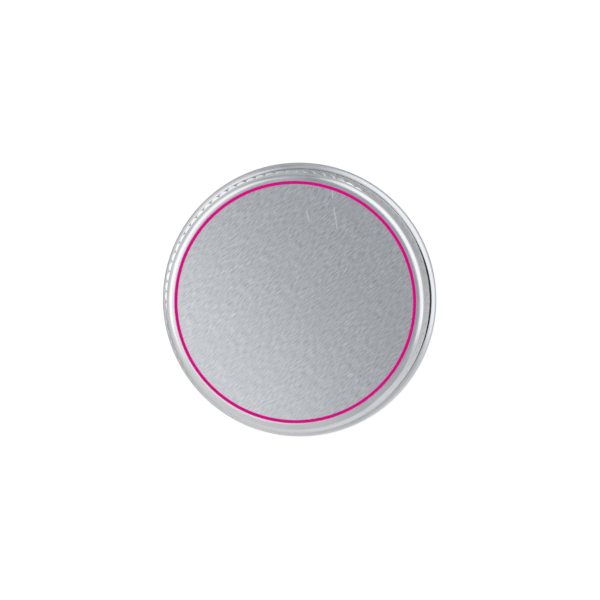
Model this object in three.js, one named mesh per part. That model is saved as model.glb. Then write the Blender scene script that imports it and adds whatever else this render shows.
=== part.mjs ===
// Round screw-lid tin of drawn aluminium with a foam liner in its lid and a poured wax balm in its base.
// Millimetres, +Z up, axis on Z, foot on z = 0.
import * as THREE from "three";
import { mergeVertices } from "three/addons/utils/BufferGeometryUtils.js";

// Sheet and main sizes
const SHEET = 0.35; // wall of both shells
const BODY_RADIUS = 18.15; // outside of the base's wall and of the lid's wall, which stand flush
const BODY_HEIGHT = 7.5; // foot to the top of the base's shoulder
const NECK_HEIGHT = 7.6; // shoulder to the top of the base's rim

// Base: foot, shoulder and rolled rim
const FOOT_CORNER = 1.5; // outside radius between foot and wall
const FOOT_RING = 2.5; // width of the flat ring the tin stands on
const RECESS_SLOPE = 0.8; // radial run of the step from the ring up to the recessed panel
const RECESS_DEPTH = 0.6; // panel above the foot ring
const SHOULDER_ROUND = 0.8; // outside radius from wall to shoulder
const NECK_FILLET = 0.6; // outside radius from shoulder to neck
const RIM_ROLL = 0.5; // outer radius of the rolled rim
const RIM_WRAP = 265; // degrees the rim rolls through

// Lid: shoulder, grip ribs and rolled skirt edge
const LID_SHOULDER = 1.2; // outside radius from the lid's top to the foot of the grooves
const LID_GAP = 0.5; // closed lid above the base's shoulder
const LID_ROLL = 0.6; // outer radius of the rolled edge
const LID_WRAP = 285; // degrees the edge rolls through
const RIB_COUNT = 80; // grip ribs round the lid
const RIB_DEPTH = 0.3; // how far they stand out from the grooves between them
const RIB_BAND_DROP = 1; // lid top to the upper end of the ribs
const RIB_BAND_HEIGHT = 2.2; // length of the ribs
const RIB_ROUND = 0.3; // height of the rounded upper end of a rib
const RIB_TAPER = 0.5; // run-out at the foot of a groove

// Rolled thread
const PITCH = 3; // rise in one turn
const LID_THREAD_DEPTH = 0.55; // how far the lid's thread is pressed in
const LID_THREAD_HALF = 0.6; // half its width
const NECK_THREAD_HALF = 0.8; // half the width of the neck's thread
const THREAD_GRIP = 0.2; // how far the two crests pass each other
const THREAD_SEAT = 0.45; // lid's crest below the neck's crest in the closed tin
const THREAD_MARGIN = 0.2; // plain wall above and below each thread
const THREAD_RUNOUT = 0.08; // turns over which each end of a thread fades
const RIM_CLEARANCE = 0.15; // rolled rim inside the lid's thread crest

// Liner and balm
const LINER_THICKNESS = 1;
const LINER_HOLD = 0.1; // liner's edge beyond the lid's thread crest, which keeps the disc in
const LINER_CLEARANCE = 0.06; // liner's edge to the inside of the lid's shoulder
const SEAL_GAP = 0.05; // liner above the rim
const HEADSPACE = 4.6; // rim to the balm's edge
const BALM_DISH = 0.25; // sink of the balm's middle
const BALM_MENISCUS = 1.2; // width of the raised edge of the balm
const BALM_GAP = 0.1; // balm to the base's wall

// Facets
const BASE_COLUMNS = 48;
const RIB_COLUMNS = 3; // facets of one rib and groove
const LID_COLUMNS = RIB_COUNT;

// Heights that follow
const rimTop = BODY_HEIGHT + NECK_HEIGHT;
const linerBottom = rimTop + SEAL_GAP;
const linerTop = linerBottom + LINER_THICKNESS;
const lidTop = linerTop + SHEET;
const lidBottom = BODY_HEIGHT + LID_GAP;
const ribTop = lidTop - RIB_BAND_DROP;
const ribBottom = ribTop - RIB_BAND_HEIGHT;

// Radii that follow
const innerRadius = BODY_RADIUS - SHEET;
const grooveRadius = BODY_RADIUS - RIB_DEPTH;
const flatRadius = grooveRadius - LID_SHOULDER;
const lidCrest = innerRadius - LID_THREAD_DEPTH;
const neckCrest = lidCrest + THREAD_GRIP;
const neckRadius = lidCrest - RIM_CLEARANCE - 2 * RIM_ROLL + SHEET;
const neckThreadDepth = neckCrest - neckRadius;
const linerRadius = lidCrest + LINER_HOLD;

const HALF_TURN = 180;
const radians = THREE.MathUtils.degToRad;

// A loop of points about Z: a count of columns, and a radius and a height that may vary with the share of a turn.
function ring(columns, radius, height) {
  const along = (value) => (typeof value === "function" ? value : () => value);
  return { columns, radius: along(radius), height: along(height) };
}

const plainRings = (columns, points) => points.map(([radius, height]) => ring(columns, radius, height));

// Points on an arc of the section, from one angle to another in degrees, with 0 pointing away from the axis.
function arc(centreRadius, centreHeight, radius, from, to, steps) {
  return Array.from({ length: steps + 1 }, (_, step) => {
    const angle = radians(from + ((to - from) * step) / steps);
    return [centreRadius + radius * Math.cos(angle), centreHeight + radius * Math.sin(angle)];
  });
}

// Faces between two neighbouring rings, whose columns may differ. Each step takes the edge whose middle comes first.
function stitch(upper, lower, faces) {
  let i = 0;
  let j = 0;
  while (i < upper.columns || j < lower.columns) {
    if ((2 * i + 1) * lower.columns <= (2 * j + 1) * upper.columns) {
      faces.push(upper.first + i, lower.first + j, upper.first + i + 1);
      i += 1;
    } else {
      faces.push(upper.first + i, lower.first + j, lower.first + j + 1);
      j += 1;
    }
  }
}

// A closed skin through rings that run from the axis back to the axis. Rings may meet: faces without area are dropped.
function skin(rings) {
  const positions = [];
  const faces = [];
  const laid = rings.map(({ columns, radius, height }) => {
    const first = positions.length / 3;
    for (let column = 0; column <= columns; column += 1) {
      const share = column / columns;
      const angle = 2 * Math.PI * (share % 1);
      positions.push(radius(share) * Math.cos(angle), radius(share) * Math.sin(angle), height(share));
    }
    return { columns, first };
  });
  laid.slice(1).forEach((lower, index) => stitch(laid[index], lower, faces));
  const loose = new THREE.BufferGeometry();
  loose.setAttribute("position", new THREE.Float32BufferAttribute(positions, 3));
  loose.setIndex(faces);
  const merged = mergeVertices(loose);
  const kept = [];
  for (let corner = 0; corner < merged.index.count; corner += 3) {
    const [a, b, c] = merged.index.array.slice(corner, corner + 3);
    if (a !== b && b !== c && c !== a) kept.push(a, b, c);
  }
  merged.setIndex(kept);
  merged.computeVertexNormals();
  return merged;
}

// Rings from low to high that follow a thread pressed by depth into a wall, outwards if depth is above 0.
// The crest climbs PITCH a turn through crestHeight at angle 0. It fades out at both ends and stays between low and high.
function threadRings(columns, wallRadius, depth, half, crestHeight, low, high) {
  const shape = [[-half, 0], [-half / 2, 0.5], [0, 1], [half / 2, 0.5], [half, 0]];
  const firstTurn = (low + half - crestHeight) / PITCH;
  const lastTurn = (high - half - crestHeight) / PITCH;
  const fade = (turn) => {
    const inside = Math.min(turn - firstTurn, lastTurn - turn);
    return THREE.MathUtils.smoothstep(inside, 0, THREAD_RUNOUT);
  };
  const rings = [];
  for (let turn = Math.floor(firstTurn) - 1; turn <= Math.ceil(lastTurn) + 1; turn += 1) {
    for (const [offset, share] of shape) {
      const height = (along) => {
        const free = crestHeight + PITCH * (turn + along) + offset;
        return THREE.MathUtils.clamp(free, low, high);
      };
      const radius = (along) => wallRadius + depth * share * fade(turn + along);
      rings.push(ring(columns, radius, height));
    }
  }
  return rings;
}

// Threads of neck and lid, on one helix
const neckThreadLow = BODY_HEIGHT + NECK_FILLET + THREAD_MARGIN;
const neckThreadHigh = rimTop - 2 * RIM_ROLL - THREAD_MARGIN;
const neckCrestHeight = neckThreadLow + NECK_THREAD_HALF;
const lidThreadLow = lidBottom + 2 * LID_ROLL + THREAD_MARGIN;
const lidThreadHigh = ribBottom - THREAD_MARGIN;
const lidCrestHeight = neckCrestHeight - THREAD_SEAT;

const neckThread = (wallRadius) =>
  threadRings(
    BASE_COLUMNS, wallRadius, neckThreadDepth, NECK_THREAD_HALF, neckCrestHeight, neckThreadLow, neckThreadHigh,
  );
const lidThread = (wallRadius) =>
  threadRings(
    LID_COLUMNS, wallRadius, -LID_THREAD_DEPTH, LID_THREAD_HALF, lidCrestHeight, lidThreadLow, lidThreadHigh,
  );

// Lid shell: top, shoulder, ribs, thread and outward roll, then back along the inside.
// inset is 0 on the outside and the sheet's thickness on the inside.
function grooveRadiusAt(height, inset) {
  const rise = Math.max(0, height - (lidTop - LID_SHOULDER));
  const bend = LID_SHOULDER - inset;
  return flatRadius + Math.sqrt(bend * bend - rise * rise);
}

function lidTopRings(inset, steps) {
  const bend = LID_SHOULDER - inset;
  const ribRise = Math.max(0, LID_SHOULDER - RIB_BAND_DROP);
  const lastAngle = THREE.MathUtils.radToDeg(Math.asin(ribRise / bend));
  const shoulder = arc(flatRadius, lidTop - LID_SHOULDER, bend, 90, lastAngle, steps);
  return plainRings(LID_COLUMNS, [[0, lidTop - inset], ...shoulder.slice(0, -1)]);
}

function ribRings(inset) {
  const rib = (share) => RIB_DEPTH * Math.abs(Math.sin(Math.PI * RIB_COUNT * share));
  const ribbed = (height) => {
    const radius = (share) => grooveRadiusAt(height, inset) + rib(share);
    return ring(LID_COLUMNS * RIB_COLUMNS, radius, height);
  };
  return [
    ring(LID_COLUMNS, grooveRadiusAt(ribTop, inset), ribTop),
    ribbed(ribTop - RIB_ROUND),
    ribbed(ribBottom + RIB_TAPER),
    ring(LID_COLUMNS, BODY_RADIUS - inset, ribBottom),
  ];
}

function lidEdge() {
  const centreRadius = innerRadius + LID_ROLL;
  const centreHeight = lidBottom + LID_ROLL;
  const last = HALF_TURN + LID_WRAP;
  return [
    ...arc(centreRadius, centreHeight, LID_ROLL - SHEET, HALF_TURN, last, 4),
    ...arc(centreRadius, centreHeight, LID_ROLL, last, HALF_TURN, 8),
  ];
}

const lidShell = skin([
  ...lidTopRings(0, 4),
  ...ribRings(0),
  ...lidThread(BODY_RADIUS).reverse(),
  ...plainRings(LID_COLUMNS, lidEdge()),
  ...lidThread(innerRadius),
  ...ribRings(SHEET).reverse(),
  ...lidTopRings(SHEET, 3).reverse(),
]);

// Liner: a disc against the lid's top whose upper edge gives way to the lid's shoulder
const linerEdgeTop = () => {
  const reach = linerRadius - flatRadius;
  const bend = LID_SHOULDER - SHEET;
  return lidTop - LID_SHOULDER + Math.sqrt(bend * bend - reach * reach) - LINER_CLEARANCE;
};
const lidLiner = skin(
  plainRings(BASE_COLUMNS, [
    [0, linerTop],
    [flatRadius, linerTop],
    [linerRadius, linerEdgeTop()],
    [linerRadius, linerBottom],
    [0, linerBottom],
  ]),
);

// Base: from the middle of the floor up the inside, over the rolled rim and down the outside.
// inset is 0 on the outside and the sheet's thickness on the inside.
function footPoints(inset, steps) {
  const bend = FOOT_CORNER - inset;
  const slope = Math.atan2(RECESS_DEPTH, RECESS_SLOPE);
  const shift = inset * Math.tan(slope / 2);
  const ringInner = BODY_RADIUS - FOOT_CORNER - FOOT_RING;
  return [
    [0, RECESS_DEPTH + inset],
    [ringInner - RECESS_SLOPE + shift, RECESS_DEPTH + inset],
    [ringInner + shift, inset],
    ...arc(BODY_RADIUS - FOOT_CORNER, FOOT_CORNER, bend, -90, 0, steps),
  ];
}

function shoulderPoints(inset, steps) {
  return [
    ...arc(BODY_RADIUS - SHOULDER_ROUND, BODY_HEIGHT - SHOULDER_ROUND, SHOULDER_ROUND - inset, 0, 90, steps),
    ...arc(neckRadius + NECK_FILLET, BODY_HEIGHT + NECK_FILLET, NECK_FILLET + inset, 270, HALF_TURN, steps),
  ];
}

function rimEdge() {
  const centreRadius = neckRadius - SHEET + RIM_ROLL;
  const centreHeight = rimTop - RIM_ROLL;
  const last = HALF_TURN - RIM_WRAP;
  return [
    ...arc(centreRadius, centreHeight, RIM_ROLL, HALF_TURN, last, 7),
    ...arc(centreRadius, centreHeight, RIM_ROLL - SHEET, last, HALF_TURN, 3),
  ];
}

const tinBase = skin([
  ...plainRings(BASE_COLUMNS, [...footPoints(SHEET, 2), ...shoulderPoints(SHEET, 2)]),
  ...neckThread(neckRadius - SHEET),
  ...plainRings(BASE_COLUMNS, rimEdge()),
  ...neckThread(neckRadius).reverse(),
  ...plainRings(BASE_COLUMNS, [...footPoints(0, 3), ...shoulderPoints(0, 3)].reverse()),
]);

// Balm: poured into the base, resting on its raised floor, with a low middle and an edge drawn up the wall
const floorTop = RECESS_DEPTH + SHEET;
const balmTop = rimTop - HEADSPACE;
const balmBelow = innerRadius - BALM_GAP;
const balmNeck = neckRadius - SHEET - BALM_GAP;
const balmShoulder = BODY_HEIGHT - SHEET - BALM_GAP;
const balmCorner = FOOT_CORNER - SHEET;
const balm = skin(
  plainRings(BASE_COLUMNS, [
    [0, balmTop - BALM_DISH],
    [balmNeck - BALM_MENISCUS, balmTop - BALM_DISH],
    [balmNeck - BALM_MENISCUS / 2, balmTop - BALM_DISH / 2],
    [balmNeck, balmTop],
    [balmNeck, balmShoulder],
    ...arc(
      BODY_RADIUS - SHOULDER_ROUND, BODY_HEIGHT - SHOULDER_ROUND, SHOULDER_ROUND - SHEET - BALM_GAP, 90, 0, 2,
    ),
    [balmBelow, floorTop + balmCorner],
    [balmBelow - balmCorner, floorTop],
    [0, floorTop],
  ]),
);

const aluminium = new THREE.MeshStandardMaterial({ color: 0xc9cccf, roughness: 0.32, metalness: 1 });
const foam = new THREE.MeshStandardMaterial({ color: 0xf2f1ec, roughness: 0.9, metalness: 0 });
const wax = new THREE.MeshStandardMaterial({ color: 0xf0e3b8, roughness: 0.55, metalness: 0 });

const tin = new THREE.Group();
const pieces = [
  ["tin_base", tinBase, aluminium],
  ["balm", balm, wax],
  ["lid_shell", lidShell, aluminium],
  ["lid_liner", lidLiner, foam],
];
for (const [name, geometry, material] of pieces) {
  const mesh = new THREE.Mesh(geometry, material);
  mesh.name = name;
  tin.add(mesh);
}

export default tin;
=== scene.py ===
"""Looks of a round aluminium screw tin with ribbed lid, foam liner and poured balm, around its solids."""

import math

import bpy
from mathutils import Matrix, Vector


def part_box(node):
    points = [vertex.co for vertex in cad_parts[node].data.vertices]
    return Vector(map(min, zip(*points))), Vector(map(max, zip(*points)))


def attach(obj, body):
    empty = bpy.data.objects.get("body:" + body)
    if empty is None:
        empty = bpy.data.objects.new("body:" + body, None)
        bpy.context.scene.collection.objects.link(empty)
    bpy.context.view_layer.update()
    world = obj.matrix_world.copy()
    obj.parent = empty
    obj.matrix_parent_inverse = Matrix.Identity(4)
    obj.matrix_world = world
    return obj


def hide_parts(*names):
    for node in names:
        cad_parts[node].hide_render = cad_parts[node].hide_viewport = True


MM = 0.001
TURN = 2 * math.pi

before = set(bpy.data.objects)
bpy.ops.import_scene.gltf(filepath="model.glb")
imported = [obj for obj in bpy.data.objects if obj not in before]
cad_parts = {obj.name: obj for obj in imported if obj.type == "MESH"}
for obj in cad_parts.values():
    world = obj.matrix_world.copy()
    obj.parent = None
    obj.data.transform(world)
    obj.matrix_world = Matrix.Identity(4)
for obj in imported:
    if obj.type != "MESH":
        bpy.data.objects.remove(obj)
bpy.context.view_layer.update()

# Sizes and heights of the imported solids
base_low, base_high = (Vector(corner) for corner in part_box("tin_base"))
lid_low, lid_high = (Vector(corner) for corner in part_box("lid_shell"))
liner_low, liner_high = (Vector(corner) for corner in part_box("lid_liner"))
balm_low, balm_high = (Vector(corner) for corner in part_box("balm"))
BODY_RADIUS = base_high.x
RIM_TOP = base_high.z
LID_TOP = lid_high.z
LID_BOTTOM = lid_low.z
LINER_RADIUS = liner_high.x
LINER_LOW = liner_low.z
LINER_HIGH = liner_high.z
BALM_RADIUS = balm_high.x
BALM_EDGE = balm_high.z
BALM_FLOOR = balm_low.z

# Sheet and base
SHEET = 0.35 * MM
BODY_HEIGHT = 7.5 * MM
FOOT_CORNER = 1.5 * MM
FOOT_RING = 2.5 * MM
RECESS_SLOPE = 0.8 * MM
RECESS_DEPTH = 0.6 * MM
RECESS_ROUND = 0.35 * MM
SHOULDER_ROUND = 0.8 * MM
NECK_FILLET = 0.6 * MM
RIM_ROLL = 0.5 * MM
RIM_WRAP = 265  # degrees
FLAT_MARGIN = 0.05 * MM  # strip beside a round that keeps a flat face's shading flat

# Lid: shoulder and grip ribs
LID_SHOULDER = 1.2 * MM
RIB_COUNT = 80
RIB_DEPTH = 0.22 * MM
RIB_INSET = 0.08 * MM  # crests inside the wall
RIB_FULLNESS = 0.65  # below 1 the ribs are broad and the valleys narrow
RIB_DROP = 0.65 * MM  # lid top to the upper end of the ribs
RIB_LENGTH = 2.55 * MM
RIB_TAPER = 0.5 * MM  # run-out at the ribs' foot
RIB_TOP_SLOPE = math.tan(math.radians(21.5))  # of the crisp upper ends
RIB_EDGE = 0.03 * MM  # round between a rib and its crisp upper end
RIB_SOFT_LENGTH = 0.85 * MM  # over which a soft upper end rises
RIB_SOFT_SIDE = math.radians(303)  # side of the lid where the upper ends are soft
SOFT_SIDE_START = -0.72  # cosine of the angle from that side where they start to soften
SOFT_SIDE_FULL = -0.33  # and where they are fully soft

# Lid: rolled edge, with angles in degrees from straight outwards
LID_ROLL = 0.6 * MM  # radius on the inner side
ROLL_CORNER = 0.45 * MM  # radius under the outer side
ROLL_SIDE = 0.7 * MM  # radius of the outer side
ROLL_CROWN = 1.33 * MM  # radius of the flatter crown
CROWN_START = 45
ROLL_SHUT = 75  # free end of the crown
ROLL_OPEN = 66.5  # free end where the edge stands open
ROLL_TRIM = 7  # free end on the hollow side, before that on the outside
OPEN_SIDE = math.radians(3)  # middle of the open stretch
OPEN_SPAN = math.radians(34)  # its reach to either side

# Thread of lid and neck, on one helix
PITCH = 3 * MM
LID_THREAD_DEPTH = 0.55 * MM
LID_THREAD_HALF = 0.6 * MM
NECK_THREAD_HALF = 0.8 * MM
THREAD_GRIP = 0.2 * MM  # how far the two crests pass each other
THREAD_SEAT = 0.45 * MM  # lid's crest below the neck's crest
THREAD_MARGIN = 0.2 * MM
THREAD_RUNOUT = 0.08  # turns
RIM_CLEARANCE = 0.15 * MM

# Printed ring on the lid
PRINT_RADIUS = 16.37 * MM
PRINT_WIDTH = 0.44 * MM
PRINT_HEIGHT = 0.005 * MM

# Balm and liner
BALM_GAP = 0.1 * MM
BALM_DISH = 0.25 * MM  # sink of the surface below its edge
BALM_MENISCUS = 0.48 * MM  # width over which the edge falls
BALM_SINK = 0.7 * BALM_DISH  # depth of the hollow in the middle
BALM_SINK_RADIUS = 2.2 * MM
RIPPLE_HEIGHT = 0.02 * MM
RIPPLE_LENGTH = 1.1 * MM
LINER_CLEARANCE = 0.06 * MM  # liner to the inside of the lid's shoulder
LINER_TAPER = 0.02 * MM
LINER_IMPRINT = 0.12 * MM  # depth of the ring that the rim has pressed in
LINER_ROUND = 0.15 * MM

# Columns round each piece and rows along each section. The ribs' rows are those of their upper ends, the
# shoulder, the band and the run-out.
RIB_COLUMNS = 8  # to each rib
VALLEY_GATHERING = 0.45  # how much the lid's columns gather in the valleys
PLAIN_COLUMNS = 360
OUTSIDE_ROWS = {"lid shoulder": 20, "ribs": (12, 4, 4, 4), "lid thread": 26, "lid roll": 6,
                "foot": 12, "shoulder": 10, "neck": 40, "rim": 20}
INSIDE_ROWS = {"lid shoulder": 5, "ribs": (5, 3, 4, 3), "lid thread": 18, "lid roll": 3,
               "foot": 8, "shoulder": 7, "neck": 40, "rim": 8}
RECESS_ROWS = 5
IMPRINT_ROWS = 12
LINER_ROUND_ROWS = 5
BALM_ROWS = 40
BALM_SHOULDER_ROWS = 4
SHARP_ANGLE = math.radians(50)
LEVEL = 0.9999  # least Z of the normal of a face that counts as flat

# Brushed top. In this and the next two groups a gloss is a least and a most roughness, and a bump is a
# strength and a depth.
GRAIN_ANGLE = math.radians(47)
GRAIN_SPAN = 40 * MM  # stretch that the UV map covers
STROKES = (1200, 8500, 1)  # to the metre, along and across the grain
CROSSED_STROKES = (950, 6400, 1)
CROSSING = 0.12  # radians between the two sets of strokes
STROKE_DARK = (0.495, 0.51, 0.53, 1)
STROKE_LIGHT = (0.8, 0.805, 0.815, 1)
STROKE_GLOSS = (0.23, 0.29)
STROKE_BUMP = (0.04, 0.004 * MM)
MOTTLE_TONE = (0.59, 0.605, 0.635, 1)
MOTTLE_SHARE = 0.3
MOTTLE_SCALE = 330.0
TOP_ANISOTROPY = 0.4
SCRATCH_TONE = (0.99, 0.99, 0.99, 1)
SCRATCH_FADE = 0.35  # share of its length from the middle where a scratch starts to fade
SCRATCHES = (  # start, end and half width
    ((5.05 * MM, 15.4 * MM), (5.2 * MM, 14.2 * MM), 0.11 * MM),
    ((5.25 * MM, 13.3 * MM), (5.8 * MM, 9.8 * MM), 0.12 * MM),
    ((1.6 * MM, 12.6 * MM), (1.9 * MM, 11.0 * MM), 0.11 * MM),
    ((-2.9 * MM, 12.6 * MM), (-2.75 * MM, 12.0 * MM), 0.09 * MM),
)

# Drawn sheet
SHEET_DARK = (0.74, 0.75, 0.765, 1)
SHEET_LIGHT = (0.85, 0.855, 0.86, 1)
DRAWN_LINES = (60, 60, 9000)  # to the metre
DRAWN_BUMP = (0.12, 0.003 * MM)
SHEET_CLOUDS = 260.0
LID_ROUGHNESS = 0.25
BASE_ROUGHNESS = 0.2
GLOSSIER = 0.04  # most that the clouds take from a roughness
DULLER = 0.06  # most that they add to it
EDGE_FADE = 0.3 * MM
EDGE_DULLNESS = 0.09  # roughness added on the rolled edge
SATIN_REACH = 0.04 * MM  # how far down the shoulder the top's satin runs
SATIN_TONE = (0.69, 0.7, 0.715, 1)

# Ink, foam and wax
INK_THIN = (0.86, 0.0, 0.285, 1)
INK_THICK = (0.80, 0.0, 0.26, 1)
INK_SCALE = 900.0
INK_GLOSS = (0.5, 0.6)
INK_SHINE = 0.1
FOAM_DARK = (0.86, 0.855, 0.84, 1)
FOAM_LIGHT = (0.93, 0.925, 0.91, 1)
FOAM_CELLS = 2600.0
FOAM_CLOUDS = 500.0
FOAM_CLOUD_SHARE = 0.5  # of the clouds in the bump
FOAM_GLOSS = (0.55, 0.75)
FOAM_BUMP = (0.5, 0.05 * MM)
FOAM_SCATTER = 0.25
FOAM_DEPTH = (0.6 * MM, 0.6 * MM, 0.55 * MM)  # reach of red, green and blue light in it
WAX_DARK = (0.94, 0.86, 0.65, 1)
WAX_LIGHT = (0.97, 0.92, 0.77, 1)
WAX_BLOOM = 220.0
WAX_GRAIN = 1500.0
WAX_GRAIN_SHARE = 0.15  # of the grain in the bump
WAX_GLOSS = (0.32, 0.5)
WAX_BUMP = (0.35, 0.12 * MM)
WAX_SCATTER = 0.5
WAX_DEPTH = (2.0 * MM, 1.4 * MM, 0.7 * MM)
WAX_COAT = 0.15

# Floor, with sides as azimuths in degrees and reaches in metres. In reflections its colour and glow carry
# painted shadow (dimmer on one side, darker near the tin on another) and painted light (paler on a third).
FLOOR_SIZE = 8.0
FLOOR_ROUGHNESS = 0.9
FLOOR_TONE = (0.45, 0.45, 0.45, 1)
FLOOR_GLOW = 0.75  # to the camera
FLOOR_MIRRORED_GLOW = 0.3  # in reflections
# Painted shadow: in reflections the floor's glow is cut near the tin on this side
FLOOR_DIM_SIDE = 33
FLOOR_DIM_SHARE = 0.73
FLOOR_DIM_START = 0.015
FLOOR_DIM_END = 0.033
FLOOR_DIM_REACH = 0.06
FLOOR_DIM_FADE = 0.2
# Painted shadow: in reflections the floor's colour darkens and its glow fades close to the tin on this side
FLOOR_SHADE_SIDE = 140
FLOOR_SHADE = 0.75
FLOOR_SHADED_TONE = (0.1, 0.1, 0.1, 1)
FLOOR_SHADE_START = 0.022
FLOOR_SHADE_END = 0.05
FLOOR_SHADE_SPREAD = 0.022
# Painted light: in reflections the floor glows paler on this side
FLOOR_LIT_SIDE = 305
FLOOR_LIT_START = 0.01
FLOOR_LIT_END = 0.03
FLOOR_LIT_GLOW = 0.12

# Lamps and room, with sizes and distances in metres
SOFTBOXES = {
    "left_softbox": {"azimuth": 153, "elevation": 40, "distance": 0.28,
                     "width": 0.41, "height": 0.20, "radiance": 0.60},
    "right_softbox": {"azimuth": 29, "elevation": 25, "distance": 0.28,
                      "width": 0.58, "height": 0.27, "radiance": 0.78},
    "front_strip": {"azimuth": 330, "elevation": 5, "distance": 0.5,
                    "width": 0.50, "height": 0.12, "radiance": 0.35},
}
PANEL_RADIANCE = 0.585
PANEL_SIDE = 198
PANEL_TURN = 17  # of its long side, in degrees
PANEL_LEAN = 0.001
PANEL_OFFSET = 0.0375
PANEL_HEIGHT = 0.105
PANEL_WIDTH = 0.085
PANEL_DEPTH = 0.04
ROOM_BACK = (0.385, 0.402, 0.43, 1)
ROOM_FRONT = (0.76, 0.765, 0.77, 1)
ROOM_SIDE = 203  # azimuth of its pale side
ROOM_FALL = 1.5
ROOM_OVERHEAD = (0.1, 0.3)  # sines of the angles from straight up between which the sides set in
ROOM_GAP = (0.31, 0.325, 0.35, 1)
ROOM_GAP_SIDE = 94
ROOM_GAP_EDGE = 0.85  # cosine of its half width

# Camera
CAMERA_DISTANCE = 0.6
CAMERA_TILT = math.radians(4.86)
CAMERA_SIDE = math.radians(29.8)
CAMERA_CLIP = 0.01
AIM_RIGHT = 0.1 * MM
AIM_DOWN = 0.03 * MM
PIXELS_ACROSS = 600
PIXELS_PER_METRE = 7216
SENSOR = 36.0

# Radii and heights that follow
inner_radius = BODY_RADIUS - SHEET
lid_crest = inner_radius - LID_THREAD_DEPTH
neck_radius = lid_crest - RIM_CLEARANCE - 2 * RIM_ROLL + SHEET
neck_thread_depth = lid_crest + THREAD_GRIP - neck_radius
rim_middle = neck_radius - SHEET + RIM_ROLL
rib_top = LID_TOP - RIB_DROP
rib_bottom = rib_top - RIB_LENGTH
rib_crest = BODY_RADIUS - RIB_INSET
groove_radius = rib_crest - RIB_DEPTH
flat_radius = groove_radius - LID_SHOULDER
shoulder_foot = LID_TOP - LID_SHOULDER
roll_reach = inner_radius + 2 * LID_ROLL
neck_thread_low = BODY_HEIGHT + NECK_FILLET + THREAD_MARGIN
neck_thread_high = RIM_TOP - 2 * RIM_ROLL - THREAD_MARGIN
neck_crest_height = neck_thread_low + NECK_THREAD_HALF
lid_thread_low = LID_BOTTOM + 2 * LID_ROLL + THREAD_MARGIN
lid_thread_high = rib_bottom - THREAD_MARGIN
lid_crest_height = neck_crest_height - THREAD_SEAT


# Sections and turned meshes


def arc(centre_radius, centre_height, radius, start, end, steps):
    """Points of a section on an arc from start to end in degrees, with 0 pointing away from the axis."""
    points = []
    for step in range(steps + 1):
        angle = math.radians(start + (end - start) * step / steps)
        points.append((centre_radius + radius * math.cos(angle), centre_height + radius * math.sin(angle)))
    return points


def rise(radius, low, high, steps):
    """Points of a straight wall from low to high."""
    return [(radius, low + (high - low) * step / steps) for step in range(steps + 1)]


def even_angles(count):
    return [TURN * column / count for column in range(count)]


def rib_angles():
    """Angles of the lid's columns, closer together in the valleys between the ribs."""
    angles = []
    for column in range(RIB_COUNT * RIB_COLUMNS):
        phase = TURN * column / RIB_COLUMNS
        angles.append((phase - VALLEY_GATHERING * math.sin(phase)) / RIB_COUNT)
    return angles


def at_angle(radius, height, angle):
    return (radius * math.cos(angle), radius * math.sin(angle), height)


def new_piece(name, points, faces):
    """A new object of points and faces, in the scene."""
    mesh = bpy.data.meshes.new(name)
    mesh.from_pydata(points, [], faces)
    piece = bpy.data.objects.new(name, mesh)
    bpy.context.scene.collection.objects.link(piece)
    return piece


def revolve(name, section, angles):
    """A smooth piece turned about Z. section gives (radius, height) points at an angle, axis to axis."""
    columns = len(angles)
    points, rows = [], []
    for row in zip(*(section(angle) for angle in angles)):
        on_axis = row[0][0] == 0
        rows.append((len(points), 1 if on_axis else columns))
        for angle, (radius, height) in list(zip(angles, row))[:rows[-1][1]]:
            points.append(at_angle(radius, height, angle))
    faces = []
    for (upper, upper_count), (lower, lower_count) in zip(rows, rows[1:]):
        for column in range(columns):
            after = (column + 1) % columns
            if upper_count == 1:
                faces.append((upper, lower + column, lower + after))
            elif lower_count == 1:
                faces.append((upper + column, lower, upper + after))
            else:
                faces.append((upper + column, lower + column, lower + after, upper + after))
    piece = new_piece(name, points, faces)
    piece.data.shade_smooth()
    piece.data.set_sharp_from_angle(angle=SHARP_ANGLE)
    return piece


def plain_piece(name, profile):
    """A piece turned from one profile all the way round."""
    return revolve(name, lambda angle: profile, even_angles(PLAIN_COLUMNS))


# Node trees


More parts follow.
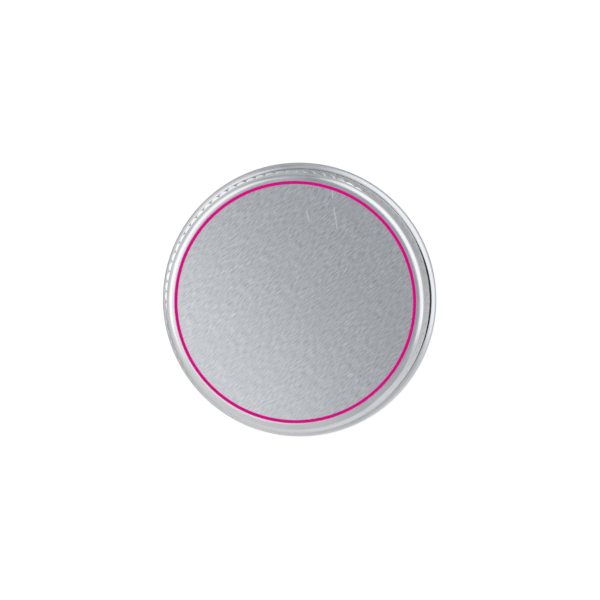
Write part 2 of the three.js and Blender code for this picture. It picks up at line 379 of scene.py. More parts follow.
class Rule:
    """Adds nodes to a tree and links them, so that a rule reads as a chain of steps."""

    def __init__(self, tree):
        self.tree = tree

    def add(self, kind, **settings):
        node = self.tree.nodes.new(kind)
        for setting, value in settings.items():
            setattr(node, setting, value)
        return node

    def feed(self, socket, value):
        if isinstance(value, bpy.types.NodeSocket):
            self.tree.links.new(value, socket)
        else:
            socket.default_value = value

    def math(self, operation, *values):
        node = self.add("ShaderNodeMath", operation=operation)
        for socket, value in zip(node.inputs, values):
            self.feed(socket, value)
        return node.outputs[0]

    def parts(self, vector):
        """X, Y and Z of a vector."""
        node = self.add("ShaderNodeSeparateXYZ")
        self.feed(node.inputs[0], vector)
        return node.outputs

    def length(self, vector):
        node = self.add("ShaderNodeVectorMath", operation="LENGTH")
        self.feed(node.inputs[0], vector)
        return node.outputs["Value"]

    def along(self, vector, direction):
        """How far vector reaches in a direction."""
        node = self.add("ShaderNodeVectorMath", operation="DOT_PRODUCT")
        self.feed(node.inputs[0], vector)
        self.feed(node.inputs[1], direction)
        return node.outputs["Value"]

    def smooth(self, value, low, high):
        """0 at low, 1 at high, with a soft start and end."""
        node = self.add("ShaderNodeMapRange", interpolation_type="SMOOTHSTEP")
        self.feed(node.inputs["Value"], value)
        self.feed(node.inputs["From Min"], low)
        self.feed(node.inputs["From Max"], high)
        return node.outputs["Result"]

    def spread(self, value, low, high, to_low, to_high):
        """value from low to high, laid on to_low to to_high."""
        node = self.add("ShaderNodeMapRange")
        self.feed(node.inputs["Value"], value)
        for socket, number in zip(list(node.inputs)[1:5], (low, high, to_low, to_high)):
            self.feed(socket, number)
        return node.outputs["Result"]

    def noise_spread(self, noise, to_low, to_high, low=0.3, high=0.7):
        """A noise, whose values mostly lie between low and high, laid on to_low to to_high."""
        return self.spread(noise, low, high, to_low, to_high)

    def noise(self, vector, scale, detail=2.0, roughness=0.5):
        node = self.add("ShaderNodeTexNoise")
        self.feed(node.inputs["Vector"], vector)
        self.feed(node.inputs["Scale"], scale)
        self.feed(node.inputs["Detail"], detail)
        self.feed(node.inputs["Roughness"], roughness)
        return node.outputs["Fac"]

    def mapped(self, vector, turn=0.0, scale=(1, 1, 1)):
        """vector turned about Z by turn and then stretched by scale."""
        turned = self.add("ShaderNodeMapping")
        self.feed(turned.inputs["Vector"], vector)
        self.feed(turned.inputs["Rotation"], (0, 0, turn))
        stretched = self.add("ShaderNodeMapping")
        self.feed(stretched.inputs["Vector"], turned.outputs["Vector"])
        self.feed(stretched.inputs["Scale"], scale)
        return stretched.outputs["Vector"]

    def blend(self, share, first, second):
        """Colour first at share 0, second at share 1."""
        node = self.add("ShaderNodeMix", data_type="RGBA")
        self.feed(node.inputs["Factor"], share)
        self.feed(node.inputs["A"], first)
        self.feed(node.inputs["B"], second)
        return next(socket for socket in node.outputs if socket.type == "RGBA")

    def bumped(self, height, strength, distance):
        """A surface's normal with height pressed into it."""
        node = self.add("ShaderNodeBump")
        self.feed(node.inputs["Height"], height)
        self.feed(node.inputs["Strength"], strength)
        self.feed(node.inputs["Distance"], distance)
        return node.outputs["Normal"]


# Pressed sheet: ribs and thread formed in a turned shell

PRESS_SIZES = (
    "Rib Count", "Rib Depth", "Rib Fullness", "Rib Top", "Rib Bottom", "Rib Taper",
    "Rib Top Slope", "Rib Edge", "Rib Soft Length", "Rib Soft Side", "Soft Side Start", "Soft Side Full",
    "Shoulder Round", "Shoulder Foot",
    "Pitch", "Thread Depth", "Thread Half Width", "Crest Height", "Thread Low", "Thread High", "Run-out",
    "Flat Height",
)
PRESS_FINISHES = ("Wall Finish", "Flat Finish")


def rib_press(rule, given, angle, z):
    """How far the ribs stand out at a place, with upper ends crisp on one side and soft on the other."""
    half_turns = rule.math("MULTIPLY", rule.math("MULTIPLY", angle, given["Rib Count"]), 0.5)
    rib = rule.math("POWER", rule.math("ABSOLUTE", rule.math("SINE", half_turns)), given["Rib Fullness"])
    shoulder = given["Shoulder Round"]
    above_foot = rule.math("MAXIMUM", rule.math("SUBTRACT", z, given["Shoulder Foot"]), 0.0)
    squares = rule.math("SUBTRACT", rule.math("MULTIPLY", shoulder, shoulder),
                        rule.math("MULTIPLY", above_foot, above_foot))
    fallen_in = rule.math("SUBTRACT", shoulder, rule.math("SQRT", rule.math("MAXIMUM", squares, 0.0)))
    taper_end = rule.math("ADD", given["Rib Bottom"], given["Rib Taper"])
    above_bottom = rule.smooth(z, given["Rib Bottom"], taper_end)
    rib_reach = rule.math("MULTIPLY", rule.math("ADD", given["Rib Depth"], fallen_in), above_bottom)
    full_rib = rule.math("MULTIPLY", rib, rib_reach)

    under_top = rule.math("MAXIMUM", rule.math("SUBTRACT", given["Rib Top"], z), 0.0)
    cone_reach = rule.math("DIVIDE", under_top, given["Rib Top Slope"])
    cut_rib = rule.math("SMOOTH_MIN", full_rib, cone_reach, given["Rib Edge"])
    crisp_rib = rule.math("MAXIMUM", cut_rib, 0.0)
    soft_rib = rule.math("MULTIPLY", full_rib, rule.smooth(under_top, 0.0, given["Rib Soft Length"]))
    to_soft_side = rule.math("COSINE", rule.math("SUBTRACT", angle, given["Rib Soft Side"]))
    softness = rule.smooth(to_soft_side, given["Soft Side Start"], given["Soft Side Full"])
    return rule.math("MULTIPLY_ADD", rule.math("SUBTRACT", soft_rib, crisp_rib), softness, crisp_rib)


def thread_press(rule, given, angle, z):
    """How far the thread stands out at a place: a round ridge on a helix that fades at both ends."""
    half = given["Thread Half Width"]
    share = rule.math("DIVIDE", angle, TURN)
    climb = rule.math("DIVIDE", rule.math("SUBTRACT", z, given["Crest Height"]), given["Pitch"])
    loose = rule.math("SUBTRACT", climb, share)
    whole = rule.math("ROUND", loose)
    off_crest = rule.math("ABSOLUTE", rule.math("SUBTRACT", loose, whole))
    away = rule.math("MULTIPLY", off_crest, given["Pitch"])
    reach = rule.math("MINIMUM", rule.math("DIVIDE", away, half), 1.0)
    wave = rule.math("COSINE", rule.math("MULTIPLY", reach, math.pi))
    ridge = rule.math("MULTIPLY_ADD", wave, 0.5, 0.5)
    turn = rule.math("ADD", whole, share)

    def end_turn(height, inwards):
        inside = rule.math("SUBTRACT", rule.math("ADD", height, inwards), given["Crest Height"])
        return rule.math("DIVIDE", inside, given["Pitch"])

    after_start = rule.math("SUBTRACT", turn, end_turn(given["Thread Low"], half))
    downwards = rule.math("MULTIPLY", half, -1.0)
    before_end = rule.math("SUBTRACT", end_turn(given["Thread High"], downwards), turn)
    fade = rule.smooth(rule.math("MINIMUM", after_start, before_end), 0.0, given["Run-out"])
    return rule.math("MULTIPLY", rule.math("MULTIPLY", ridge, fade), given["Thread Depth"])


def press_tree():
    """Geometry nodes that press grip ribs out of a turned shell and a helical thread in or out of it."""
    tree = bpy.data.node_groups.new("pressed_sheet", "GeometryNodeTree")
    tree.interface.new_socket("Geometry", in_out="INPUT", socket_type="NodeSocketGeometry")
    for name in PRESS_SIZES:
        tree.interface.new_socket(name, in_out="INPUT", socket_type="NodeSocketFloat")
    for name in PRESS_FINISHES:
        tree.interface.new_socket(name, in_out="INPUT", socket_type="NodeSocketMaterial")
    tree.interface.new_socket("Geometry", in_out="OUTPUT", socket_type="NodeSocketGeometry")
    rule = Rule(tree)
    given = rule.add("NodeGroupInput").outputs
    x, y, z = rule.parts(rule.add("GeometryNodeInputPosition").outputs[0])
    angle = rule.math("ARCTAN2", y, x)

    outwards = rule.math("ADD", thread_press(rule, given, angle, z), rib_press(rule, given, angle, z))
    offset = rule.add("ShaderNodeCombineXYZ")
    rule.feed(offset.inputs["X"], rule.math("MULTIPLY", outwards, rule.math("COSINE", angle)))
    rule.feed(offset.inputs["Y"], rule.math("MULTIPLY", outwards, rule.math("SINE", angle)))
    moved = rule.add("GeometryNodeSetPosition")
    rule.feed(moved.inputs["Geometry"], given["Geometry"])
    rule.feed(moved.inputs["Offset"], offset.outputs[0])

    real = rule.add("GeometryNodeRealizeInstances")
    rule.feed(real.inputs[0], moved.outputs[0])
    wall = rule.add("GeometryNodeSetMaterial")
    rule.feed(wall.inputs["Geometry"], real.outputs[0])
    rule.feed(wall.inputs["Material"], given["Wall Finish"])
    facing = rule.parts(rule.add("GeometryNodeInputNormal").outputs[0])
    level = rule.math("GREATER_THAN", facing["Z"], LEVEL)
    high = rule.math("GREATER_THAN", z, given["Flat Height"])
    flat = rule.add("GeometryNodeSetMaterial")
    rule.feed(flat.inputs["Geometry"], wall.outputs[0])
    rule.feed(flat.inputs["Selection"], rule.math("MULTIPLY", level, high))
    rule.feed(flat.inputs["Material"], given["Flat Finish"])
    rule.feed(rule.add("NodeGroupOutput").inputs[0], flat.outputs[0])
    return tree


def applied(piece, tree, values):
    """piece with the tree's result as its plain mesh."""
    modifier = piece.modifiers.new(tree.name, "NODES")
    modifier.node_group = tree
    for item in tree.interface.items_tree:
        if item.in_out == "INPUT" and item.name in values:
            modifier[item.identifier] = values[item.name]
    depsgraph = bpy.context.evaluated_depsgraph_get()
    mesh = bpy.data.meshes.new_from_object(piece.evaluated_get(depsgraph), depsgraph=depsgraph)
    piece.modifiers.clear()
    plain = piece.data
    piece.data = mesh
    bpy.data.meshes.remove(plain)
    mesh.name = piece.name
    return piece


# Finishes


def finish(name):
    """A new material, its rule and its surface shader."""
    material = bpy.data.materials.new(name)
    material.use_nodes = True
    return material, Rule(material.node_tree), material.node_tree.nodes["Principled BSDF"].inputs


def place_of(rule):
    return rule.add("ShaderNodeTexCoord").outputs["Object"]


def scratch(rule, place, start, end, width):
    """1 on a straight scratch between two points of the lid's top in metres, 0 elsewhere."""
    run = Vector(end) - Vector(start)
    turned = rule.add("ShaderNodeMapping", vector_type="TEXTURE")
    rule.feed(turned.inputs["Vector"], place)
    rule.feed(turned.inputs["Location"], (start[0], start[1], 0))
    rule.feed(turned.inputs["Rotation"], (0, 0, math.atan2(run.y, run.x)))
    parts = rule.parts(turned.outputs[0])
    across = rule.smooth(rule.math("ABSOLUTE", parts["Y"]), width, 0.0)
    from_middle = rule.math("ABSOLUTE", rule.math("SUBTRACT", parts["X"], run.length / 2))
    along = rule.smooth(from_middle, run.length / 2, run.length * SCRATCH_FADE)
    return rule.math("MULTIPLY", across, along)


def brushed_top():
    """Satin aluminium with short fine strokes in one direction and a few scratches."""
    material, rule, surface = finish("brushed_aluminium_top")
    place = place_of(rule)
    strokes = rule.noise(rule.mapped(place, -GRAIN_ANGLE, STROKES), 1.0, detail=0.0)
    crossed_place = rule.mapped(place, -GRAIN_ANGLE + CROSSING, CROSSED_STROKES)
    crossed = rule.noise(crossed_place, 1.0, detail=1.0, roughness=0.6)
    grain = rule.math("MULTIPLY", rule.math("ADD", strokes, crossed), 0.5)
    cloud = rule.noise(place, MOTTLE_SCALE, detail=3.0)
    marks = 0.0
    for start, end, width in SCRATCHES:
        marks = rule.math("MAXIMUM", marks, scratch(rule, place, start, end, width))
    tone = rule.blend(rule.noise_spread(grain, 0.0, 1.0), STROKE_DARK, STROKE_LIGHT)
    mottle = rule.noise_spread(cloud, 0.0, MOTTLE_SHARE, low=0.35, high=0.65)
    mottled = rule.blend(mottle, tone, MOTTLE_TONE)
    rule.feed(surface["Base Color"], rule.blend(marks, mottled, SCRATCH_TONE))
    rule.feed(surface["Roughness"], rule.noise_spread(grain, *STROKE_GLOSS))
    surface["Metallic"].default_value = 1.0
    surface["Anisotropic"].default_value = TOP_ANISOTROPY
    tangent = rule.add("ShaderNodeTangent", direction_type="UV_MAP", uv_map="grain")
    rule.feed(surface["Tangent"], tangent.outputs[0])
    rule.feed(surface["Normal"], rule.bumped(grain, *STROKE_BUMP))
    return material


def drawn_sheet(name, roughness, edge_top, satin_top):
    """Bright drawn aluminium with faint lines round the piece and an uneven gloss.

    A rolled edge below edge_top is duller, and the satin of a brushed face at satin_top runs over its edge.
    """
    material, rule, surface = finish(name)
    place = place_of(rule)
    height = rule.parts(place)["Z"]
    spun = rule.noise(rule.mapped(place, 0.0, DRAWN_LINES), 1.0)
    cloud = rule.noise(place, SHEET_CLOUDS, detail=3.0, roughness=0.55)
    shade = rule.noise_spread(rule.math("ADD", spun, cloud), 0.0, 1.0, low=0.7, high=1.3)
    bright = rule.blend(shade, SHEET_DARK, SHEET_LIGHT)
    satin = rule.smooth(height, satin_top - SATIN_REACH, satin_top)
    rule.feed(surface["Base Color"], rule.blend(satin, bright, SATIN_TONE))
    gloss = rule.noise_spread(cloud, roughness - GLOSSIER, roughness + DULLER)
    rolled = rule.smooth(height, edge_top, edge_top - EDGE_FADE)
    rule.feed(surface["Roughness"], rule.math("MULTIPLY_ADD", rolled, EDGE_DULLNESS, gloss))
    surface["Metallic"].default_value = 1.0
    rule.feed(surface["Normal"], rule.bumped(spun, *DRAWN_BUMP))
    return material


def printed_ink():
    """Opaque magenta ink with a slightly uneven film."""
    material, rule, surface = finish("magenta_ink")
    film = rule.noise(place_of(rule), INK_SCALE)
    rule.feed(surface["Base Color"], rule.blend(film, INK_THIN, INK_THICK))
    rule.feed(surface["Roughness"], rule.noise_spread(film, *INK_GLOSS))
    surface["Specular IOR Level"].default_value = INK_SHINE
    return material


def liner_foam():
    """White closed-cell foam sheet with a fine skin of small cells."""
    material, rule, surface = finish("liner_foam")
    place = place_of(rule)
    cells = rule.add("ShaderNodeTexVoronoi", feature="F1")
    rule.feed(cells.inputs["Vector"], place)
    rule.feed(cells.inputs["Scale"], FOAM_CELLS)
    soft = rule.noise(place, FOAM_CLOUDS, detail=3.0, roughness=0.6)
    height = rule.math("ADD", cells.outputs["Distance"], rule.math("MULTIPLY", soft, FOAM_CLOUD_SHARE))
    rule.feed(surface["Base Color"], rule.blend(soft, FOAM_DARK, FOAM_LIGHT))
    rule.feed(surface["Roughness"], rule.noise_spread(soft, *FOAM_GLOSS))
    surface["Subsurface Weight"].default_value = FOAM_SCATTER
    surface["Subsurface Radius"].default_value = FOAM_DEPTH
    rule.feed(surface["Normal"], rule.bumped(height, *FOAM_BUMP))
    return material


def balm_wax():
    """Pale beeswax balm: soft, slightly see-through, with a faint bloom and a fine grain."""
    material, rule, surface = finish("balm_wax")
    place = place_of(rule)
    bloom = rule.noise(place, WAX_BLOOM, detail=4.0, roughness=0.6)
    grain = rule.noise(place, WAX_GRAIN, detail=3.0, roughness=0.6)
    paleness = rule.noise_spread(bloom, 0.0, 1.0, low=0.35, high=0.7)
    rule.feed(surface["Base Color"], rule.blend(paleness, WAX_DARK, WAX_LIGHT))
    rule.feed(surface["Roughness"], rule.noise_spread(bloom, *WAX_GLOSS))
    surface["Subsurface Weight"].default_value = WAX_SCATTER
    surface["Subsurface Radius"].default_value = WAX_DEPTH
    surface["Coat Weight"].default_value = WAX_COAT
    height = rule.math("ADD", bloom, rule.math("MULTIPLY", grain, WAX_GRAIN_SHARE))
    rule.feed(surface["Normal"], rule.bumped(height, *WAX_BUMP))
    return material


# Lid


def lid_shoulder(inset, steps):
    """Section of the lid's round shoulder, from the flat top to the upper end of the ribs."""
    bend = LID_SHOULDER - inset
    last = math.degrees(math.asin((LID_SHOULDER - RIB_DROP) / bend))
    return arc(flat_radius, shoulder_foot, bend, 90, last, steps)[:-1]


def rib_band(inset, rows):
    """Section at the foot of the grooves, from the upper end of the ribs down to the plain wall below."""
    shoulder_reach = math.sqrt(LID_SHOULDER ** 2 - (LID_SHOULDER - RIB_DROP) ** 2)
    widest_top = rib_crest - flat_radius - shoulder_reach
    top_end = rib_top - (widest_top + RIB_EDGE) * RIB_TOP_SLOPE
    levels = (rib_top, top_end, shoulder_foot, rib_bottom + RIB_TAPER, rib_bottom)
    heights = [rib_top]
    for high, low, count in zip(levels, levels[1:], rows):
        heights += [height for _, height in rise(0, high, low, count)[1:]]
    points = []
    for height in heights:
        above = max(0, height - shoulder_foot)
        share = min(1, (height - rib_bottom) / RIB_TAPER)
        run_out = (BODY_RADIUS - groove_radius) * (1 - share * share * (3 - 2 * share))
        points.append((flat_radius + math.sqrt((LID_SHOULDER - inset) ** 2 - above ** 2) + run_out, height))
    return points


def lid_roll(inset, last, steps):
    """Section of the rolled edge from the wall under and up to its free end, inset on its hollow side."""
    side_height = LID_BOTTOM + ROLL_CORNER
    side_middle = roll_reach - ROLL_SIDE
    flatter = ROLL_CROWN - ROLL_SIDE
    crown_middle = side_middle - flatter * math.cos(math.radians(CROWN_START))
    crown_foot = side_height - flatter * math.sin(math.radians(CROWN_START))
    under = arc(inner_radius + LID_ROLL, LID_BOTTOM + LID_ROLL, LID_ROLL - inset, 180, 270, steps)
    corner = arc(roll_reach - ROLL_CORNER, side_height, ROLL_CORNER - inset, -90, 0, steps)
    side = arc(side_middle, side_height, ROLL_SIDE - inset, 0, CROWN_START, steps)
    crown = arc(crown_middle, crown_foot, ROLL_CROWN - inset, CROWN_START, last, steps)
    return under + corner + side[1:] + crown[1:]


def lid_section(angle):
    """Section of the lid: over the top, down the wall, round the rolled edge and back along the inside."""
    away = (angle - OPEN_SIDE + math.pi) % TURN - math.pi
    open_share = 0.5 + 0.5 * math.cos(math.pi * min(1, abs(away) / OPEN_SPAN))
    last = ROLL_SHUT + (ROLL_OPEN - ROLL_SHUT) * open_share
    top = [(0, LID_TOP), (flat_radius / 2, LID_TOP), (flat_radius - FLAT_MARGIN, LID_TOP)]
    top += lid_shoulder(0, OUTSIDE_ROWS["lid shoulder"]) + rib_band(0, OUTSIDE_ROWS["ribs"])
    outer_wall = rise(BODY_RADIUS, lid_thread_high, lid_thread_low, OUTSIDE_ROWS["lid thread"])
    hollow = lid_roll(SHEET, last - ROLL_TRIM, INSIDE_ROWS["lid roll"])
    roll = lid_roll(0, last, OUTSIDE_ROWS["lid roll"])
    inner_wall = rise(inner_radius, lid_thread_low, lid_thread_high, INSIDE_ROWS["lid thread"])
    ceiling = lid_shoulder(SHEET, INSIDE_ROWS["lid shoulder"]) + rib_band(SHEET, INSIDE_ROWS["ribs"])
    back = [(flat_radius - FLAT_MARGIN, LID_TOP - SHEET), (0, LID_TOP - SHEET)]
    return top + outer_wall + hollow + roll[::-1] + inner_wall + ceiling[::-1] + back


def grain_map(piece):
    """A flat UV map over the lid whose U runs with the brushed strokes."""
    along = Vector((math.cos(GRAIN_ANGLE), math.sin(GRAIN_ANGLE), 0))
    across = Vector((-math.sin(GRAIN_ANGLE), math.cos(GRAIN_ANGLE), 0))
    layer = piece.data.uv_layers.new(name="grain")
    for loop in piece.data.loops:
        place = piece.data.vertices[loop.vertex_index].co
        layer.data[loop.index].uv = (place.dot(along) / GRAIN_SPAN, place.dot(across) / GRAIN_SPAN)


def make_lid(tree):
    """The lid, a turned shell with ribs pressed out of it and a thread pressed in."""
    lid = revolve("lid", lid_section, rib_angles())
    grain_map(lid)
    return applied(lid, tree, {
        "Rib Count": float(RIB_COUNT),
        "Rib Depth": RIB_DEPTH,
        "Rib Fullness": RIB_FULLNESS,
        "Rib Top": rib_top,
        "Rib Bottom": rib_bottom,
        "Rib Taper": RIB_TAPER,
        "Rib Top Slope": RIB_TOP_SLOPE,
        "Rib Edge": RIB_EDGE,
        "Rib Soft Length": RIB_SOFT_LENGTH,
        "Rib Soft Side": RIB_SOFT_SIDE,
        "Soft Side Start": SOFT_SIDE_START,
        "Soft Side Full": SOFT_SIDE_FULL,
        "Shoulder Round": LID_SHOULDER,
        "Shoulder Foot": shoulder_foot,
        "Pitch": PITCH,
        "Thread Depth": -LID_THREAD_DEPTH,
        "Thread Half Width": LID_THREAD_HALF,
        "Crest Height": lid_crest_height,
        "Thread Low": lid_thread_low,
        "Thread High": lid_thread_high,
        "Run-out": THREAD_RUNOUT,
        "Flat Height": LID_TOP - SHEET / 2,
        "Wall Finish": drawn_sheet("drawn_aluminium_lid", LID_ROUGHNESS, lid_thread_low, LID_TOP),
        "Flat Finish": brushed_top(),
    })


def make_print_ring():
    """Thin film of ink in a ring on the lid's flat top."""
    inner = PRINT_RADIUS - PRINT_WIDTH / 2
    outer = PRINT_RADIUS + PRINT_WIDTH / 2
    film_top = LID_TOP + PRINT_HEIGHT
    section = [(inner, LID_TOP), (inner, film_top), (outer, film_top), (outer, LID_TOP)]
    angles = even_angles(PLAIN_COLUMNS)
    columns = len(angles)
    points = [at_angle(radius, height, angle) for radius, height in section for angle in angles]
    faces = []
    for row in range(len(section)):
        here = row * columns
        there = (row + 1) % len(section) * columns
        for column in range(columns):
            after = (column + 1) % columns
            faces.append((here + column, there + column, there + after, here + after))
    ring = new_piece("print_ring", points, faces)
    ring.data.materials.append(printed_ink())
    return ring


# Base, liner and balm


def foot_profile(inset, steps):
    """Section of the base from its middle to its wall, inset by the sheet on the inside."""
    slope = math.atan2(RECESS_DEPTH, RECESS_SLOPE)
    degrees = math.degrees(slope)
    shift = inset * math.tan(slope / 2)
    tangent = RECESS_ROUND * math.tan(slope / 2)
    ring_inner = BODY_RADIUS - FOOT_CORNER - FOOT_RING
    panel = ring_inner - RECESS_SLOPE + shift
    height = RECESS_DEPTH + inset
    middle = [(0, height), (panel - 2 * tangent, height)]
    step = arc(panel - tangent, height - RECESS_ROUND, RECESS_ROUND, 90, 90 - degrees, RECESS_ROWS)
    step += arc(ring_inner + shift + tangent, inset + RECESS_ROUND, RECESS_ROUND,
                270 - degrees, 270, RECESS_ROWS)
    corner = arc(BODY_RADIUS - FOOT_CORNER, FOOT_CORNER, FOOT_CORNER - inset, -90, 0, steps)
    return middle + step + [(corner[0][0] - FLAT_MARGIN, inset)] + corner


def shoulder_profile(inset, steps):
    """Section of the base from its wall over the shoulder to its neck, inset by the sheet on the inside."""
    outer = arc(BODY_RADIUS - SHOULDER_ROUND, BODY_HEIGHT - SHOULDER_ROUND,
                SHOULDER_ROUND - inset, 0, 90, steps)
    fillet = arc(neck_radius + NECK_FILLET, BODY_HEIGHT + NECK_FILLET, NECK_FILLET + inset, 270, 180, steps)
    return outer + fillet


def base_profile():
    """Section of the base: floor, inside wall, over the rolled rim, down the outside and under the foot."""
    roll_height = RIM_TOP - RIM_ROLL
    last = 180 - RIM_WRAP
    inside = foot_profile(SHEET, INSIDE_ROWS["foot"]) + shoulder_profile(SHEET, INSIDE_ROWS["shoulder"])
    inside += rise(neck_radius - SHEET, neck_thread_low, neck_thread_high, INSIDE_ROWS["neck"])
    rim = arc(rim_middle, roll_height, RIM_ROLL, 180, last, OUTSIDE_ROWS["rim"])
    rim += arc(rim_middle, roll_height, RIM_ROLL - SHEET, last, 180, INSIDE_ROWS["rim"])
    outside = foot_profile(0, OUTSIDE_ROWS["foot"]) + shoulder_profile(0, OUTSIDE_ROWS["shoulder"])
    outside += rise(neck_radius, neck_thread_low, neck_thread_high, OUTSIDE_ROWS["neck"])
    return inside + rim + outside[::-1]


def make_base(tree):
    """The base, with a thread but no ribs: the ribs' inputs stay at 0."""
    sheet = drawn_sheet("drawn_aluminium_base", BASE_ROUGHNESS, 0.0, LID_TOP)
    return applied(plain_piece("base", base_profile()), tree, {
        "Pitch": PITCH,
        "Thread Depth": neck_thread_depth,
        "Thread Half Width": NECK_THREAD_HALF,
        "Crest Height": neck_crest_height,
        "Thread Low": neck_thread_low,
        "Thread High": neck_thread_high,
        "Run-out": THREAD_RUNOUT,
        "Flat Height": LID_TOP,
        "Wall Finish": sheet,
        "Flat Finish": sheet,
    })


def make_liner():
    """Foam disc with a soft edge and the ring that the rim has pressed into it."""
    shoulder_reach = LINER_RADIUS - flat_radius
    edge_drop = LID_SHOULDER - math.sqrt((LID_SHOULDER - SHEET) ** 2 - shoulder_reach ** 2)
    edge_top = LID_TOP - edge_drop - LINER_CLEARANCE
    imprint = []
    for step in range(IMPRINT_ROWS + 1):
        across = -1 + 2 * step / IMPRINT_ROWS
        dent = LINER_IMPRINT * 0.5 * (1 + math.cos(math.pi * across))
        imprint.append((rim_middle - across * RIM_ROLL, LINER_LOW + dent))
    profile = [(0, LINER_HIGH), (flat_radius, LINER_HIGH), (LINER_RADIUS - LINER_TAPER, edge_top)]
    profile += arc(LINER_RADIUS - LINER_ROUND, LINER_LOW + LINER_ROUND,
                   LINER_ROUND, 0, -90, LINER_ROUND_ROWS)
    profile += imprint + [(rim_middle / 2, LINER_LOW), (0, LINER_LOW)]
    liner = plain_piece("liner", profile)
    liner.data.materials.append(liner_foam())
    return liner


def make_balm():
    """Poured wax: an edge drawn up the wall, a low middle with a small hollow, and a foot on the floor."""
    neck = neck_radius - SHEET - BALM_GAP
    corner = FOOT_CORNER - SHEET
    surface = [(0, BALM_EDGE - BALM_DISH - BALM_SINK)]
    for step in range(1, BALM_ROWS + 1):
        radius = neck * step / BALM_ROWS
        ripple = RIPPLE_HEIGHT * math.cos(radius / RIPPLE_LENGTH) * (1 - radius / neck)
        sink = BALM_SINK * math.exp(-((radius / BALM_SINK_RADIUS) ** 2))
        lift = BALM_DISH * math.exp(-(neck - radius) / BALM_MENISCUS)
        surface.append((radius, BALM_EDGE - BALM_DISH + lift + ripple - sink))
    below = [(neck, BODY_HEIGHT - SHEET - BALM_GAP)]
    below += arc(BODY_RADIUS - SHOULDER_ROUND, BODY_HEIGHT - SHOULDER_ROUND,
                 SHOULDER_ROUND - SHEET - BALM_GAP, 90, 0, BALM_SHOULDER_ROWS)
    foot = [(BALM_RADIUS, BALM_FLOOR + corner), (BALM_RADIUS - corner, BALM_FLOOR), (0, BALM_FLOOR)]
    balm = plain_piece("balm_fill", surface + below + foot)
    balm.data.materials.append(balm_wax())
    return balm


# Stage, light and camera


def heading(azimuth, elevation):
    """Unit vector at an azimuth from +X and an elevation above the floor, in degrees."""
    level = math.cos(math.radians(elevation))
    turn = math.radians(azimuth)
    return Vector((level * math.cos(turn), level * math.sin(turn), math.sin(math.radians(elevation))))


def white_floor():
    """White to the camera, with painted light and shadow by side in reflections, and clear from below."""
    material, rule, surface = finish("white_floor")
    shader = material.node_tree.nodes["Principled BSDF"]
    path = rule.add("ShaderNodeLightPath").outputs
    mirrored = rule.math("MAXIMUM", path["Is Glossy Ray"], path["Is Transmission Ray"])
    place = place_of(rule)
    off_axis = rule.length(place)

    # Painted shadow in the reflected glow, near the tin on the dim side
    to_dim_side = rule.along(place, heading(FLOOR_DIM_SIDE, 0))
    dim_share = rule.spread(to_dim_side, FLOOR_DIM_START, FLOOR_DIM_END, 0.0, FLOOR_DIM_SHARE)
    near_tin = rule.smooth(off_axis, FLOOR_DIM_FADE, FLOOR_DIM_REACH)
    undimmed = rule.math("SUBTRACT", 1.0, rule.math("MULTIPLY", dim_share, near_tin))

    # Painted light in the reflected glow on the lit side
    to_lit_side = rule.along(place, heading(FLOOR_LIT_SIDE, 0))
    lit_glow = rule.spread(to_lit_side, FLOOR_LIT_START, FLOOR_LIT_END, 0.0, FLOOR_LIT_GLOW)
    evenly = rule.math("MULTIPLY_ADD", undimmed, FLOOR_MIRRORED_GLOW, lit_glow)

    # Painted shadow near the tin on the shade side, in the reflected colour and glow
    to_shade_side = rule.along(place, heading(FLOOR_SHADE_SIDE, 0))
    shade_side = rule.spread(to_shade_side, 0.0, FLOOR_SHADE_SPREAD, 0.0, 1.0)
    close_by = rule.spread(off_axis, FLOOR_SHADE_END, FLOOR_SHADE_START, 0.0, FLOOR_SHADE)
    shade = rule.math("MULTIPLY", close_by, shade_side)
    mirrored_glow = rule.math("MULTIPLY", evenly, rule.math("SUBTRACT", 1.0, shade))
    mirrored_shade = rule.math("MULTIPLY", mirrored, shade)

    rule.feed(surface["Base Color"], rule.blend(mirrored_shade, FLOOR_TONE, FLOOR_SHADED_TONE))
    surface["Roughness"].default_value = FLOOR_ROUGHNESS
    seen_glow = rule.math("MULTIPLY", path["Is Camera Ray"], FLOOR_GLOW)
    glow = rule.add("ShaderNodeEmission")
    rule.feed(glow.inputs["Strength"], rule.math("MULTIPLY_ADD", mirrored, mirrored_glow, seen_glow))
    both = rule.add("ShaderNodeAddShader")
    rule.feed(both.inputs[0], shader.outputs[0])
    rule.feed(both.inputs[1], glow.outputs[0])
    above_only = rule.add("ShaderNodeMixShader")
    rule.feed(above_only.inputs[0], rule.add("ShaderNodeNewGeometry").outputs["Backfacing"])
    rule.feed(above_only.inputs[1], both.outputs[0])
    rule.feed(above_only.inputs[2], rule.add("ShaderNodeBsdfTransparent").outputs[0])
    rule.feed(material.node_tree.nodes["Material Output"].inputs["Surface"], above_only.outputs[0])
    return material


def make_floor():
    """A square floor that the tin stands on, as part of the stage."""
    half = FLOOR_SIZE / 2
    corners = [(-half, -half, 0), (half, -half, 0), (half, half, 0), (-half, half, 0)]
    floor = new_piece("floor", corners, [(0, 1, 2, 3)])
    floor.data.materials.append(white_floor())


def softbox(name, place, aim, width, height, radiance):
    """A rectangular lamp at place that faces aim, with its width level."""
    lamp = bpy.data.lights.new(name, "AREA")
    lamp.shape = "RECTANGLE"
    lamp.size = width
    lamp.size_y = height
    lamp.energy = radiance * math.pi * width * height
    obj = bpy.data.objects.new(name, lamp)
    obj.location = place
    obj.rotation_euler = (aim - place).to_track_quat("-Z", "Y").to_euler()
    bpy.context.scene.collection.objects.link(obj)


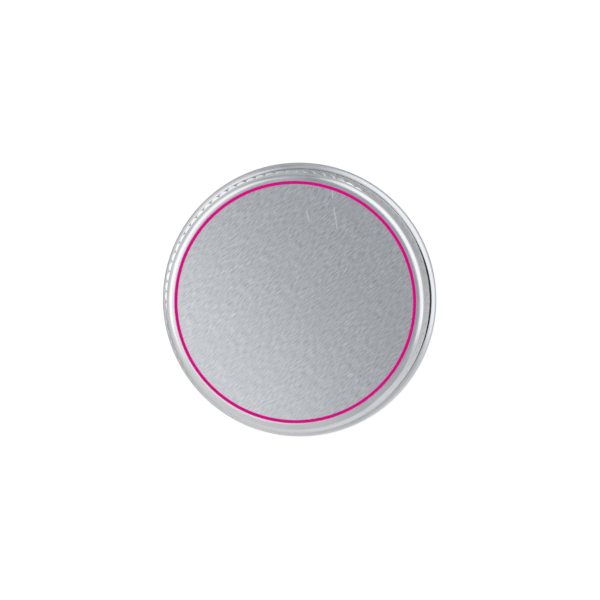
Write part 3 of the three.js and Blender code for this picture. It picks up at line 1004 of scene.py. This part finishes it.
def make_lamps():
    """Softboxes at either side, a low strip in front and a small panel above one side of the lid."""
    lid_middle = Vector((0, 0, LID_TOP))
    for name, lamp in SOFTBOXES.items():
        place = lid_middle + heading(lamp["azimuth"], lamp["elevation"]) * lamp["distance"]
        softbox(name, place, lid_middle, lamp["width"], lamp["height"], lamp["radiance"])
    panel = lid_middle + heading(PANEL_SIDE, 0) * PANEL_OFFSET + Vector((0, 0, PANEL_HEIGHT))
    lean = heading(PANEL_SIDE + PANEL_TURN + 180, 0) * PANEL_LEAN
    softbox("left_panel", panel, panel + lean - Vector((0, 0, 1)), PANEL_WIDTH, PANEL_DEPTH, PANEL_RADIANCE)


def make_room():
    """A grey room that is pale towards one side and has a darker gap between the softboxes."""
    world = bpy.data.worlds.new("studio")
    bpy.context.scene.world = world
    world.use_nodes = True
    rule = Rule(world.node_tree)
    level = rule.add("ShaderNodeVectorMath", operation="MULTIPLY")
    rule.feed(level.inputs[0], rule.add("ShaderNodeTexCoord").outputs["Generated"])
    rule.feed(level.inputs[1], (1, 1, 0))
    around = rule.add("ShaderNodeVectorMath", operation="NORMALIZE")
    rule.feed(around.inputs[0], level.outputs["Vector"])
    aside = rule.smooth(rule.length(level.outputs["Vector"]), *ROOM_OVERHEAD)

    to_pale_side = rule.along(around.outputs["Vector"], heading(ROOM_SIDE, 0))
    pale = rule.math("POWER", rule.spread(to_pale_side, -1.0, 1.0, 0.0, 1.0), ROOM_FALL)
    room = rule.blend(rule.math("MULTIPLY", pale, aside), ROOM_BACK, ROOM_FRONT)
    to_gap = rule.along(around.outputs["Vector"], heading(ROOM_GAP_SIDE, 0))
    gap = rule.math("MULTIPLY", rule.smooth(to_gap, ROOM_GAP_EDGE, 1.0), aside)
    rule.feed(world.node_tree.nodes["Background"].inputs["Color"], rule.blend(gap, room, ROOM_GAP))


def make_camera():
    """Camera almost straight above the lid, with the photograph's up along +Y."""
    camera = bpy.data.cameras.new("camera")
    camera.sensor_width = SENSOR
    camera.lens = PIXELS_PER_METRE * CAMERA_DISTANCE * SENSOR / PIXELS_ACROSS
    camera.clip_start = CAMERA_CLIP
    target = Vector((AIM_RIGHT, -AIM_DOWN, LID_BOTTOM + LID_ROLL))
    side = Vector((math.cos(CAMERA_SIDE), math.sin(CAMERA_SIDE), 0))
    back = side * math.sin(CAMERA_TILT) + Vector((0, 0, math.cos(CAMERA_TILT)))
    right = Vector((0, 1, 0)).cross(back).normalized()
    up = back.cross(right)
    turned = Matrix((right, up, back)).transposed().to_4x4()
    obj = bpy.data.objects.new("camera", camera)
    obj.matrix_world = Matrix.Translation(target + back * CAMERA_DISTANCE) @ turned
    bpy.context.scene.collection.objects.link(obj)
    bpy.context.scene.camera = obj


sheet_tree = press_tree()
lid = make_lid(sheet_tree)
base = make_base(sheet_tree)
liner = make_liner()
balm = make_balm()
print_ring = make_print_ring()

for piece, body, node, slot in (
    (lid, "lid", "lid_shell", "lid_aluminium"),
    (base, "base", "tin_base", "base_aluminium"),
    (liner, "liner", "lid_liner", "liner_foam"),
    (balm, "base", "balm", "balm_wax"),
):
    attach(piece, body)
    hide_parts(node)
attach(print_ring, "lid")

make_floor()
make_lamps()
make_room()
make_camera()
bpy.context.scene.view_settings.view_transform = "Standard"
